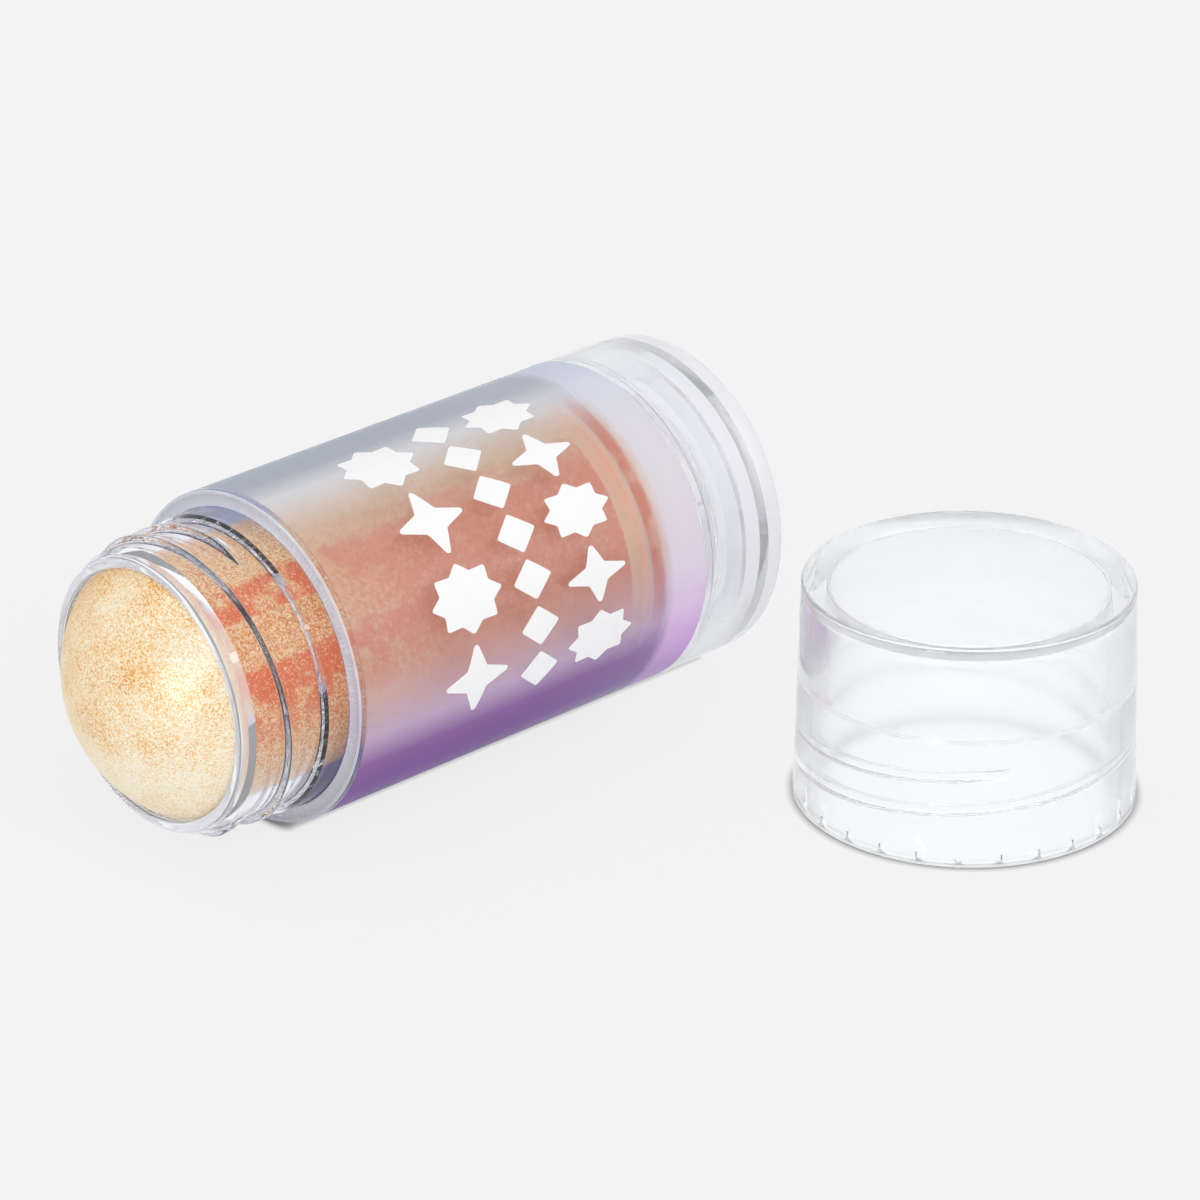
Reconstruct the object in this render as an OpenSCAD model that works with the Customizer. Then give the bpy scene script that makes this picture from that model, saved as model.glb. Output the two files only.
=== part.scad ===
// Twist-up shimmer stick in a clear thick-walled pack, lying on its side with its cap beside it.
// Millimetres, +Z up. The origin is the centre of the base's flat end face, and +X runs along the
// stick from the base to the dome. Stations along the stick are distances from that end face.

/* [Container] */
// Outer radius of the sleeve and of the base
stick_r = 20; // [19:0.25:24]
// Length of the outer sleeve, from the base to the shoulder
sleeve_len = 54.2; // [46:0.1:80]
// Wall of the outer sleeve
sleeve_wall = 2; // [1.6:0.1:2.5]
// Wall of the inner barrel inside the sleeve
barrel_wall = 2.95; // [2.65:0.05:3.4]
// Thickness of the floor that closes the barrel
floor_t = 2; // [1.5:0.1:3]
// Rounding of the sleeve's edge at the shoulder
shoulder_round = 0.3; // [0.1:0.05:0.6]

/* [Neck] */
// Length of the neck, from the shoulder to the lip
neck_len = 14.5; // [13:0.1:18]
// Wall of the neck between its threads
neck_wall = 2; // [1.6:0.1:2.4]
// Length of the plain collar next to the shoulder
collar_len = 3.3; // [2:0.1:4]
// Height of the thread ridges
thread_h = 0.85; // [0.5:0.05:0.9]
// Width of a thread ridge at its crest
thread_w = 0.85; // [0.5:0.05:1.2]
// Rise of the two-start thread in one turn
thread_lead = 8.4; // [7:0.1:9]
// Step in the wall where the lip begins
lip_step = 0.6; // [0.3:0.05:0.8]
// Length of the narrower lip
lip_len = 1.1; // [0.8:0.1:2]

/* [Label] */
// Bare strip between the label and the shoulder
label_margin = 0.9; // [0.5:0.1:5]
// Depth of the panel that the label lies in
panel_depth = 0.15; // [0.12:0.01:0.3]
// Thickness of the label film
film_t = 0.1; // [0.05:0.01:0.1]
// Open seam between the label's ends, in degrees
seam_gap = 2; // [1:0.5:10]

/* [Base] */
// Length of the base
base_len = 13; // [12:0.5:18]
// Thickness of the base's end plate
plate_t = 2.75; // [2:0.05:3.5]
// Rounding of the base's outer edge
base_round = 1; // [0.4:0.1:1.5]
// Wall of the barrel's spigot inside the base
spigot_wall = 2; // [1.6:0.1:2.4]
// Height of the snap bead on the spigot
bead_h = 0.4; // [0.2:0.05:0.6]
// Wall of the guide ring inside the spigot
guide_wall = 1.4; // [1:0.1:2]
// Height of the guide ring above the end plate
guide_h = 3.9; // [2:0.1:6]
// Wall of the hub that holds the spindle's foot
hub_wall = 1.8; // [1.2:0.1:2.5]

/* [Lift] */
// Rise of the lifting screw in one turn
screw_lead = 4; // [3.5:0.1:5]
// Radius of the spindle's core
core_r = 2.8; // [2.4:0.1:3.2]
// Height of the screw's ridge above the core
screw_h = 0.9; // [0.6:0.05:1.1]
// Radius of the spindle's foot in the hub
foot_r = 5.5; // [5:0.1:6.5]
// Radius of the thrust disc under the barrel's floor
thrust_r = 9.5; // [8:0.1:11]
// Thickness of the thrust disc
thrust_t = 1.5; // [1:0.1:2]
// Depth of the spindle's tip below the lip
tip_depth = 6; // [4:0.5:12]
// Space between the barrel's floor and the lowered elevator
lift_gap = 3.3; // [2.9:0.1:6]
// Height of the elevator
elevator_h = 3.2; // [2.8:0.1:6]
// Thickness of the elevator's platform
platform_t = 1.4; // [1:0.1:2]
// Radius of the elevator's nut
nut_r = 6; // [5.2:0.1:7]
// Number of ribs under the platform
rib_count = 6; // [3:1:8]

/* [Product] */
// Height of the dome above the wall of the stick of product
dome_h = 8.1; // [4:0.1:9]
// Depth of the dome's edge below the lip
dome_drop = 0.6; // [0.2:0.1:3]

/* [Cap] */
// Room above the dome inside the closed cap
head_room = 2.86; // [1.5:0.02:8]
// How far the cap's wall leans in from its mouth to its top
cap_lean = 0.67; // [0:0.01:1]
// Thickness of the cap's top
cap_top_t = 2.2; // [1.5:0.1:3]
// Wall of the cap above the thread
cap_wall = 3.1; // [2.5:0.1:3.4]
// Rounding of the cap's top edge
cap_round = 0.5; // [0.2:0.1:1]
// Number of small notches round the inside of the cap's mouth
notch_count = 26; // [12:1:40]
// Height of the notches above the mouth
notch_h = 1.1; // [0.6:0.1:2]
// Distance of the cap's axis from the stick's axis
cap_y = 52.8; // [48:0.1:80]
// Distance of the cap's axis from the plane of the base's end face
cap_x = 3.07; // [-10:0.01:30]

/* [Clearances] */
// Gap between the base and the sleeve
parting_gap = 0.1; // [0.05:0.01:0.2]
// Radial gap between pieces that turn or slide in each other
run_gap = 0.08; // [0.03:0.01:0.1]
// Gap between pieces that are fixed to each other
seat_gap = 0.05; // [0.02:0.01:0.08]
// Gap round the engaged screw ridge
screw_gap = 0.15; // [0.1:0.01:0.2]
// Radial gap between the neck and the cap
cap_gap = 0.2; // [0.15:0.01:0.4]

/* [Hidden] */
ROUND = 128;
OVER = 1;
ARC_STEPS = 6;

// Splines that drive the spindle's foot
spline_count = 4;
spline_w = 1.6;
spline_h = 0.9;

// Radii of the nested pieces, from the outside in
guide_gap = 0.4;
journal_over = 0.3;
sleeve_bore = stick_r - sleeve_wall;
barrel_r = sleeve_bore - seat_gap;
bore_r = barrel_r - barrel_wall;
neck_r = bore_r + neck_wall;
crest_r = neck_r + thread_h;
lip_r = neck_r - lip_step;
lip_round = 0.45;
spigot_r = bore_r + spigot_wall;
cup_r = spigot_r + run_gap;
guide_r = bore_r - guide_gap;
hub_r = foot_r + spline_h + hub_wall;
slide_r = bore_r - run_gap;
screw_r = core_r + screw_h;
journal_r = screw_r + journal_over;

// Stations along the stick
floor_inset = 0.9;
bead_inset = 3.2;
bead_w = 0.8;
spigot_gap = 1.85;
nut_below = 1.6;
nut_above = 1;
sleeve_s = base_len + parting_gap;
shoulder_s = sleeve_s + sleeve_len;
collar_s = shoulder_s + collar_len;
lip_s = shoulder_s + neck_len;
floor_s = sleeve_s + floor_inset;
floor_top_s = floor_s + floor_t;
thrust_s = floor_s - run_gap - thrust_t;
guide_s = plate_t + guide_h;
spigot_s = plate_t + spigot_gap;
bead_s = base_len - bead_inset;
elevator_s = floor_top_s + lift_gap;
product_s = elevator_s + elevator_h;
nut_s = elevator_s - nut_below;
nut_top_s = product_s + nut_above;
tip_s = lip_s - tip_depth;
dome_s = lip_s - dome_drop;

// The label's seam lies on the side away from the cap, and a film of adhesive is under it
seam_turn = 302;
film_gap = 0.02;

// Neck thread, two ridges half a turn apart
thread_starts = 2;
thread_foot = 0.4;
thread_first = collar_len + 2;
thread_margin = 1.55;
thread_rise = neck_len - lip_len - lip_step - thread_first - thread_margin;
thread_span = 360 * thread_rise / thread_lead;
thread_fade = 25;
thread_turn = 152;
thread_slope = 1.75;

// Lifting screw, left-handed so that turning the base to the right lifts the product
screw_w = 1;
screw_foot = 0.3;
screw_slope = 1.6;
snap_h = 0.8;
snap_r = journal_r + 0.4;

// Keys that stop the elevator and the product from turning with the spindle
key_count = 2;
key_turn = 212;
key_h = 0.5;
key_w = 1.2;
key_gap = 0.1;
key_end_gap = 2.3;
key_end_s = lip_s - key_end_gap;

// The elevator's sliding wall has a groove between two wiping rings
wiper_h = 0.8;
wiper_cut = 0.45;
wiper_wall = 1.4;

// The screw's ridge starts near the tip and winds down to just above the snap bead
screw_start_s = tip_s - core_r / 2 - screw_w;
screw_span = 360 * (screw_start_s - nut_s + screw_w) / screw_lead;

// The groove in the nut, in step with the ridge and open at both ends of the nut
groove_turns = floor((screw_start_s - nut_top_s - 2 * screw_w) / screw_lead);
groove_start_s = screw_start_s - groove_turns * screw_lead;
groove_span = 360 * (groove_start_s - nut_s + 2 * screw_w) / screw_lead;

// Fins on the elevator that hold the product
fin_in = nut_r + 0.8;
fin_out = bore_r - 4;
fin_h = 2.6;
fin_t = 1;

// The dome is a cap of a sphere
dome_steps = 24;
dome_r = (slide_r * slide_r + dome_h * dome_h) / (2 * dome_h);
dome_half = asin(slide_r / dome_r);

// Cap, as it stands on the floor beside the stick
floor_z = -stick_r;
cap_bore = barrel_r + cap_gap;
cap_crest = neck_r + cap_gap;
cap_cavity_r = stick_r - cap_lean - cap_wall;
cap_h = neck_len - dome_drop + dome_h + head_room + cap_top_t;
cap_step = neck_len + 0.4;
cap_thread_first = collar_len + 1.2;
cap_thread_margin = 3.64;
cap_thread_rise = cap_step - cap_thread_first - cap_thread_margin;
cap_thread_span = 360 * cap_thread_rise / thread_lead;
cap_thread_turn = -47.7;
mouth_chamfer = 0.35;
notch_w = 0.6;
notch_depth = 0.45;

// Points of an arc about [x, y], used for rounded edges of turned profiles
function arc(x, y, r, from, to) =
    [for (i = [0:ARC_STEPS]) let (a = from + (to - from) * i / ARC_STEPS)
        [x + r * cos(a), y + r * sin(a)]];

// How much of its height a ridge has at an angle along its run, with both ends run out
function risen(a, span, fade) = fade == 0 ? 1 : max(0.1, min(1, a / fade, (span - a) / fade));

// A ridge with a trapezium section carried along a helix. It stands outwards from foot_r when
// top_r is the larger, and inwards when it is the smaller.
module helix_ridge(foot_r, top_r, foot_w, top_w, s, lead, turn, span, fade, step) {
    steps = ceil(span / step);
    ring = [for (i = [0:steps])
        let (a = span * i / steps, r = foot_r + (top_r - foot_r) * risen(a, span, fade))
        for (p = [[foot_r, -foot_w / 2], [r, -top_w / 2], [r, top_w / 2], [foot_r, foot_w / 2]])
            [p[0] * cos(turn + a), p[0] * sin(turn + a), s + lead * a / 360 + p[1]]];
    sides = [for (i = [0:steps - 1], j = [0:3])
        let (k = (j + 1) % 4, a = 4 * i + j, b = 4 * i + k, c = b + 4, d = a + 4)
        each [[a, b, c], [a, c, d]]];
    ends = [[3, 2, 1], [3, 1, 0],
            [4 * steps, 4 * steps + 1, 4 * steps + 2], [4 * steps, 4 * steps + 2, 4 * steps + 3]];
    faces = [for (f = concat(sides, ends)) top_r > foot_r ? f : [f[2], f[1], f[0]]];
    polyhedron(ring, faces, convexity = 10);
}

// Turns a piece that is drawn upright so that it lies along +X
module lay() rotate([0, 90, 0]) children();

// Copies a piece round the axis
module around(count, turn = 0)
    for (i = [0:count - 1]) rotate(turn + 360 * i / count) children();

// The bars that the barrel's keys are made of, wider and deeper where they cut a keyway
module key_bars(from, to, gap)
    around(key_count, key_turn)
        translate([bore_r - key_h - gap, -key_w / 2 - gap, from])
            cube([key_h + gap + thread_foot, key_w + 2 * gap, to - from]);

// The splines on the spindle's foot, wider and longer where they cut the hub
module spline_bars(from, to, gap)
    around(spline_count)
        translate([core_r, -spline_w / 2 - gap, from])
            cube([foot_r + spline_h + gap - core_r, spline_w + 2 * gap, to - from]);

// The fins that stand up from the platform, wider where they cut the product
module fin_bars(gap)
    around(rib_count, 180 / rib_count)
        translate([fin_in - gap, -fin_t / 2 - gap, product_s - (gap > 0 ? OVER : platform_t / 2)])
            cube([fin_out - fin_in + 2 * gap, fin_t + 2 * gap,
                  fin_h + gap + (gap > 0 ? OVER : platform_t / 2)]);

module outer_sleeve()
    color([0.86, 0.88, 0.95, 0.5]) lay() rotate_extrude($fn = ROUND)
        polygon(concat(
            [[sleeve_bore, sleeve_s], [stick_r - panel_depth, sleeve_s],
             [stick_r - panel_depth, shoulder_s - label_margin],
             [stick_r, shoulder_s - label_margin]],
            arc(stick_r - shoulder_round, shoulder_s - shoulder_round, shoulder_round, 0, 90),
            [[sleeve_bore, shoulder_s]]));

module label_film()
    color([0.8, 0.72, 0.82, 0.7]) lay() rotate([0, 0, seam_turn + seam_gap / 2])
        rotate_extrude(angle = 360 - seam_gap, $fn = ROUND)
            translate([stick_r - panel_depth + film_gap, sleeve_s])
                square([film_t, sleeve_len - label_margin]);

// Profile of the barrel, from its spigot to its lip
module barrel_profile()
    polygon(concat(
        [[bore_r, spigot_s], [spigot_r - mouth_chamfer, spigot_s],
         [spigot_r, spigot_s + mouth_chamfer], [spigot_r, bead_s],
         [spigot_r + bead_h, bead_s + bead_w / 2], [spigot_r + bead_h, bead_s + bead_w],
         [spigot_r, bead_s + bead_w], [spigot_r, sleeve_s], [barrel_r, sleeve_s],
         [barrel_r, collar_s - mouth_chamfer], [barrel_r - mouth_chamfer, collar_s],
         [neck_r, collar_s], [neck_r, lip_s - lip_len - lip_step],
         [lip_r, lip_s - lip_len]],
        arc(lip_r - lip_round, lip_s - lip_round, lip_round, 0, 90),
        arc(bore_r + lip_round, lip_s - lip_round, lip_round, 90, 180),
        [[bore_r, floor_top_s], [journal_r + run_gap, floor_top_s],
         [journal_r + run_gap, floor_s], [bore_r, floor_s]]));

module inner_barrel()
    color([0.88, 0.9, 0.96, 0.5]) lay() {
        rotate_extrude($fn = ROUND) barrel_profile();
        around(thread_starts, thread_turn)
            helix_ridge(neck_r - thread_foot, crest_r, thread_w * thread_slope, thread_w,
                        shoulder_s + thread_first, thread_lead, 0, thread_span, thread_fade, 5);
        intersection() {
            key_bars(floor_top_s - thread_foot, key_end_s, 0);
            cylinder(h = lip_s, r = bore_r + thread_foot, $fn = ROUND);
        }
    }

module twist_base()
    color([0.87, 0.9, 0.95, 0.5]) lay() difference() {
        rotate_extrude($fn = ROUND) polygon(concat(
            [[0, 0]], arc(stick_r - base_round, base_round, base_round, -90, 0),
            [[stick_r, base_len], [cup_r, base_len],
             [cup_r, bead_s + bead_w + run_gap], [cup_r + bead_h, bead_s + bead_w + run_gap],
             [cup_r + bead_h, bead_s + bead_w / 2 - run_gap], [cup_r, bead_s - run_gap],
             [cup_r, plate_t], [guide_r, plate_t],
             [guide_r, guide_s], [guide_r - guide_wall, guide_s],
             [guide_r - guide_wall, plate_t],
             [hub_r, plate_t], [hub_r, thrust_s],
             [foot_r + seat_gap, thrust_s], [foot_r + seat_gap, plate_t], [0, plate_t]]));
        spline_bars(plate_t, thrust_s + OVER, seat_gap);
    }

module spindle()
    color([0.95, 0.93, 0.87]) lay() {
        rotate_extrude($fn = 96) polygon([
            [0, plate_t], [foot_r, plate_t], [foot_r, thrust_s], [thrust_r, thrust_s],
            [thrust_r, thrust_s + thrust_t], [journal_r, thrust_s + thrust_t],
            [journal_r, floor_top_s + run_gap], [snap_r, floor_top_s + run_gap],
            [journal_r, floor_top_s + run_gap + snap_h], [core_r, floor_top_s + run_gap + snap_h],
            [core_r, tip_s - core_r / 2], [core_r / 2, tip_s], [0, tip_s]]);
        spline_bars(plate_t, thrust_s, 0);
        helix_ridge(core_r - screw_foot, screw_r, screw_w * screw_slope, screw_w,
                    screw_start_s, -screw_lead, 0, screw_span, 60, 15);
    }

module elevator()
    color([0.96, 0.95, 0.9]) lay() difference() {
        union() {
            rotate_extrude($fn = ROUND) polygon([
                [0, nut_s], [nut_r, nut_s], [nut_r, product_s - platform_t],
                [slide_r - wiper_wall, product_s - platform_t], [slide_r - wiper_wall, elevator_s],
                [slide_r, elevator_s], [slide_r, elevator_s + wiper_h],
                [slide_r - wiper_cut, elevator_s + wiper_h],
                [slide_r - wiper_cut, product_s - wiper_h],
                [slide_r, product_s - wiper_h], [slide_r, product_s],
                [nut_r, product_s], [nut_r, nut_top_s], [0, nut_top_s]]);
            around(rib_count)
                translate([nut_r - OVER / 2, -fin_t / 2, elevator_s + wiper_h / 2])
                    cube([slide_r - wiper_wall - nut_r + OVER, fin_t,
                          elevator_h - wiper_h / 2 - platform_t / 2]);
            fin_bars(0);
        }
        translate([0, 0, nut_s - OVER])
            cylinder(h = nut_top_s - nut_s + 2 * OVER, r = core_r + screw_gap, $fn = 96);
        helix_ridge(core_r - screw_foot, screw_r + screw_gap,
                    screw_w * screw_slope + 2 * screw_gap, screw_w + 2 * screw_gap,
                    groove_start_s, -screw_lead, 0, groove_span, 0, 15);
        key_bars(elevator_s - OVER, product_s + OVER, key_gap);
    }

module product_stick()
    color([0.98, 0.85, 0.62]) lay() difference() {
        rotate_extrude($fn = ROUND) polygon(concat(
            [[0, product_s], [slide_r, product_s]],
            [for (i = [0:dome_steps]) let (a = dome_half * (1 - i / dome_steps))
                [dome_r * sin(a), dome_s + dome_h - dome_r * (1 - cos(a))]]));
        translate([0, 0, product_s - OVER]) {
            cylinder(h = nut_top_s - product_s + seat_gap + OVER, r = nut_r + seat_gap, $fn = 96);
            cylinder(h = tip_s - product_s + 2 * OVER, r = screw_r + 3 * screw_gap, $fn = 96);
        }
        fin_bars(seat_gap);
        key_bars(product_s - OVER, key_end_s + 3 * key_gap, key_gap);
    }

module cap()
    color([0.9, 0.94, 0.98, 0.45]) translate([cap_x, cap_y, floor_z]) {
        difference() {
            rotate_extrude($fn = ROUND) polygon(concat(
                [[cap_bore + mouth_chamfer, 0], [stick_r, 0]],
                arc(stick_r - cap_lean - cap_round, cap_h - cap_round, cap_round, 0, 90),
                [[0, cap_h], [0, cap_h - cap_top_t]],
                [[cap_cavity_r - cap_round, cap_h - cap_top_t],
                 [cap_cavity_r, cap_h - cap_top_t - cap_round],
                 [cap_cavity_r, cap_step], [cap_bore, cap_step], [cap_bore, mouth_chamfer]]));
            around(notch_count)
                translate([cap_bore - OVER, -notch_w / 2, -OVER])
                    cube([notch_depth + OVER, notch_w, notch_h + OVER]);
        }
        around(thread_starts, cap_thread_turn)
            helix_ridge(cap_bore + thread_foot, cap_crest, thread_w * thread_slope, thread_w,
                        cap_thread_first, thread_lead, 0, cap_thread_span, thread_fade, 5);
    }

outer_sleeve();
inner_barrel();
label_film();
twist_base();
spindle();
elevator();
product_stick();
cap();
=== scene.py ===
import math

import bmesh
import bpy
from mathutils import Matrix, Vector


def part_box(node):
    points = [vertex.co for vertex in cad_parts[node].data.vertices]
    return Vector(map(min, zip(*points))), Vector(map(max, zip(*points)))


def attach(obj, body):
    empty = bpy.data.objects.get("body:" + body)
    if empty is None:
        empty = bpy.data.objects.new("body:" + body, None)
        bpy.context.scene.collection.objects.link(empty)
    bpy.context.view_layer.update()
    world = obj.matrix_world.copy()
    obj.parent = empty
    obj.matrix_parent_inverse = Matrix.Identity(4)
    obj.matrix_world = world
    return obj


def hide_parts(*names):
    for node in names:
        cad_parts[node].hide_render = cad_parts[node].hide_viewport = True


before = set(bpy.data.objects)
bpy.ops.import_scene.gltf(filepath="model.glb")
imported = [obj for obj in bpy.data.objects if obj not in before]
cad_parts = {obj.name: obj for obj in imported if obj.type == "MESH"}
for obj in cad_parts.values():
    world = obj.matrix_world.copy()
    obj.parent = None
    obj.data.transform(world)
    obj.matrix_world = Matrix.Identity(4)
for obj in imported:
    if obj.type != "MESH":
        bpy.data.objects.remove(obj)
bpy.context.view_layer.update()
print("nodes", sorted(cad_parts))

# %% [markdown]
# ## Sizes
# Every piece is drawn in millimetres, upright on its own axis, because that is how a turned part is
# thought of, and is laid in place at the end. The main places are read from the frame, so that the
# looks follow the engineering model. The small steps of a profile are named here once.
# %% Sizes in millimetres
MM = 0.001
COLUMNS = 432
CAP_COLUMNS = 520
TIGHT_ROW = 0.065
THREAD_MARK, NOTCH_MARK, KEY_MARK, SPLINE_MARK, RIB_MARK = 1.0, 2.0, 4.0, 5.0, 6.0


def span_mm(node):
    """Lowest and highest corner of a node of the frame, in millimetres."""
    low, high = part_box(node)
    return low / MM, high / MM


sleeve_low, sleeve_high = span_mm("outer_sleeve")
barrel_low, barrel_high = span_mm("inner_barrel")
base_low, base_high = span_mm("twist_base")
film_low, film_high = span_mm("label_film")
product_low, product_high = span_mm("product_stick")
cap_low, cap_high = span_mm("cap")

stick_r = round(sleeve_high.z, 3)
parting_s = sleeve_low.x
shoulder_s = sleeve_high.x
lip_s = barrel_high.x
spigot_s = barrel_low.x
collar_r = 17.95
bore_r = 15.0
neck_r = 17.0
collar_len = 3.3
wall_gap = 0.05
print("stick radius", stick_r, "shoulder at", shoulder_s, "lip at", lip_s)


# %% [markdown]
# ## Turned pieces
# The sleeve, barrel, base, cap and balm are all bodies of revolution. They could be made with the
# Screw modifier, but a small lathe of our own gives each row a mark that later steps can read, closes
# the poles, and lets us say which edges are crisp. A profile is a list of points, each a radius, a
# height along the axis and a mark.
# %% A small lathe
CRISP = math.radians(34)
ARC_STEPS = 6


def arc_points(x, y, r, start, end):
    """Points along a rounded edge, from one angle to another in degrees."""
    angles = [math.radians(start + (end - start) * i / ARC_STEPS) for i in range(ARC_STEPS + 1)]
    return [(x + r * math.cos(a), y + r * math.sin(a)) for a in angles]


def rows(x, start, end, step, mark=0.0, end_x=None):
    """Points up a straight stretch of wall, at most a step apart, both ends included."""
    end_x = x if end_x is None else end_x
    count = max(1, math.ceil(abs(end - start) / step))
    found = []
    for i in range(count + 1):
        t = i / count
        found.append((x + (end_x - x) * t, start + (end - start) * t, mark))
    return found


def turned(name, profile, columns=COLUMNS):
    """A closed mesh made by turning a profile once round the upright axis, in millimetres."""
    points = [p if len(p) == 3 else (p[0], p[1], 0.0) for p in profile]
    points = [p for i, p in enumerate(points) if i == 0 or p[:2] != points[i - 1][:2]]
    shape = bmesh.new()
    mark_layer = shape.verts.layers.float.new("mark")
    rings = []
    for r, s, mark in points:
        ring = []
        for c in range(1 if r < 1e-6 else columns):
            a = 2 * math.pi * c / columns
            vertex = shape.verts.new((r * math.cos(a), r * math.sin(a), s))
            vertex[mark_layer] = mark
            ring.append(vertex)
        rings.append(ring)
    pairs = list(zip(rings, rings[1:]))
    if len(rings[0]) > 1 and len(rings[-1]) > 1:
        pairs.append((rings[-1], rings[0]))
    for lower, upper in pairs:
        if len(lower) == len(upper) == 1:
            continue
        for c in range(columns):
            d = (c + 1) % columns
            corners = [lower[c % len(lower)], lower[d % len(lower)],
                       upper[d % len(upper)], upper[c % len(upper)]]
            shape.faces.new(list(dict.fromkeys(corners)))
    return finish_mesh(name, shape)


def finish_mesh(name, shape):
    """Turns a bmesh into an object with outward faces, smooth shading and crisp edges."""
    bmesh.ops.recalc_face_normals(shape, faces=shape.faces)
    for face in shape.faces:
        face.smooth = True
    for edge in shape.edges:
        edge.smooth = not (edge.is_manifold and edge.calc_face_angle(0) > CRISP)
    mesh = bpy.data.meshes.new(name)
    shape.to_mesh(mesh)
    shape.free()
    piece = bpy.data.objects.new(name, mesh)
    bpy.context.scene.collection.objects.link(piece)
    print(name, "has", len(mesh.polygons), "faces")
    return piece


def grooves(piece, mark, count, turn, width, new_r):
    """Moves the marked points that lie within a groove or a key to its own radius."""
    marks = piece.data.attributes["mark"].data
    for vertex in piece.data.vertices:
        if abs(marks[vertex.index].value - mark) > 0.1:
            continue
        x, y = vertex.co.x, vertex.co.y
        r = math.hypot(x, y)
        off = (math.degrees(math.atan2(y, x)) - turn + 180 / count) % (360 / count) - 180 / count
        if abs(math.sin(math.radians(off))) * r < width / 2:
            vertex.co.x, vertex.co.y = x / r * new_r, y / r * new_r


LAY_DOWN = Matrix.Scale(MM, 4) @ Matrix.Rotation(math.radians(90), 4, "Y")
cap_axis = (cap_low + cap_high) / 2
STAND_CAP = Matrix.Scale(MM, 4) @ Matrix.Translation((cap_axis.x, cap_axis.y, cap_low.z))


def place(piece, matrix, body, slot, *nodes):
    """Puts a finished piece where it belongs and ties it to a body of the frame."""
    piece.data.transform(matrix)
    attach(piece, body)
    if nodes:
        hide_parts(*nodes)


# %% [markdown]
# ## Building node trees
# Both geometry and materials are node trees made in code. Short helpers keep that readable: one adds a
# node, one joins sockets or sets plain values, one does both in a single call, and the rest make
# arithmetic and vectors look like calls.
# %% Helpers for node trees
def add_node(tree, kind, **settings):
    """A new node of a kind, with its plain properties set."""
    node = tree.nodes.new(kind)
    for key, value in settings.items():
        setattr(node, key, value)
    return node


def feed(tree, socket, value):
    """Links a socket to another one, or writes a plain value into it."""
    if isinstance(value, bpy.types.NodeSocket):
        tree.links.new(value, socket)
    else:
        socket.default_value = value


def wired(tree, kind, output, settings=None, **values):
    """One output of a new node with its inputs fed, an underscore in a name standing for a space."""
    node = add_node(tree, kind, **(settings or {}))
    for key, value in values.items():
        feed(tree, node.inputs[key.replace("_", " ")], value)
    return node.outputs[output]


def calc(tree, operation, *values):
    """One arithmetic node. Values are numbers or sockets, and the result is a socket."""
    node = add_node(tree, "ShaderNodeMath", operation=operation)
    for socket, value in zip(node.inputs, values):
        feed(tree, socket, value)
    return node.outputs[0]


def ease(tree, value, start, end, low=0.0, high=1.0, shape="SMOOTHSTEP"):
    """A smooth step from low to high as value goes from start to end."""
    return wired(tree, "ShaderNodeMapRange", "Result", {"interpolation_type": shape},
                 Value=value, From_Min=start, From_Max=end, To_Min=low, To_Max=high)


def times(tree, first, *rest):
    """The product of two or more values."""
    for value in rest:
        first = calc(tree, "MULTIPLY", first, value)
    return first


def split(tree, vector):
    """The three parts of a vector."""
    node = add_node(tree, "ShaderNodeSeparateXYZ")
    feed(tree, node.inputs[0], vector)
    return node.outputs


def join(tree, x=0.0, y=0.0, z=0.0):
    """A vector from its three parts."""
    return wired(tree, "ShaderNodeCombineXYZ", 0, X=x, Y=y, Z=z)


# %% [markdown]
# Materials need a few helpers more: a colour ramp, a mix of two colours, a noise, and the two numbers
# that say where a point is on a stick that lies along the X axis, its station and its angle. They come
# from Object coordinates, so that a pattern stays with its piece.
# %% Helpers for materials
def ramp(tree, value, stops):
    """A colour ramp over a value, with its stops as (place, colour)."""
    node = add_node(tree, "ShaderNodeValToRGB")
    feed(tree, node.inputs["Fac"], value)
    strip = node.color_ramp
    while len(strip.elements) < len(stops):
        strip.elements.new(0.5)
    for element, (spot, colour) in zip(strip.elements, stops):
        element.position = spot
        element.color = (*colour, 1.0)
    return node.outputs["Color"]


def blend_colours(tree, factor, first, second, way="MIX"):
    """Mixes two colours, by a number or a socket."""
    node = add_node(tree, "ShaderNodeMix", data_type="RGBA", blend_type=way)
    feed(tree, node.inputs["Factor"], factor)
    for key, colour in (("A", first), ("B", second)):
        is_socket = isinstance(colour, bpy.types.NodeSocket)
        feed(tree, node.inputs[key], colour if is_socket else (*colour, 1.0))
    return node.outputs["Result"]


def noise(tree, vector, scale, detail=2.0, roughness=0.5):
    """A noise value at points of a vector."""
    return wired(tree, "ShaderNodeTexNoise", "Fac", Vector=vector, Scale=scale, Detail=detail,
                 Roughness=roughness)


def own_place(tree):
    """The object's own coordinates, in metres."""
    return add_node(tree, "ShaderNodeTexCoord").outputs["Object"]


def around_stick(tree):
    """The object's own coordinates, its station along the stick in metres and its angle round it,
    in degrees from the back through the top to the front."""
    place_in = own_place(tree)
    x, y, z = split(tree, place_in)
    back = times(tree, y, -1.0)
    angle = calc(tree, "DEGREES", calc(tree, "ARCTAN2", z, back))
    return place_in, x, calc(tree, "FLOORED_MODULO", angle, 360.0)


def new_material(name):
    """An empty node material and its tree."""
    material = bpy.data.materials.new(name)
    material.use_nodes = True
    material.node_tree.nodes.clear()
    return material, material.node_tree


def unevenness(tree, height, strength, distance):
    """A bumped normal from a height."""
    return wired(tree, "ShaderNodeBump", "Normal", Height=height, Strength=strength, Distance=distance)


def principled(tree, **values):
    """A Principled shader with its sockets set."""
    return wired(tree, "ShaderNodeBsdfPrincipled", "BSDF", **values)


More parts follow.
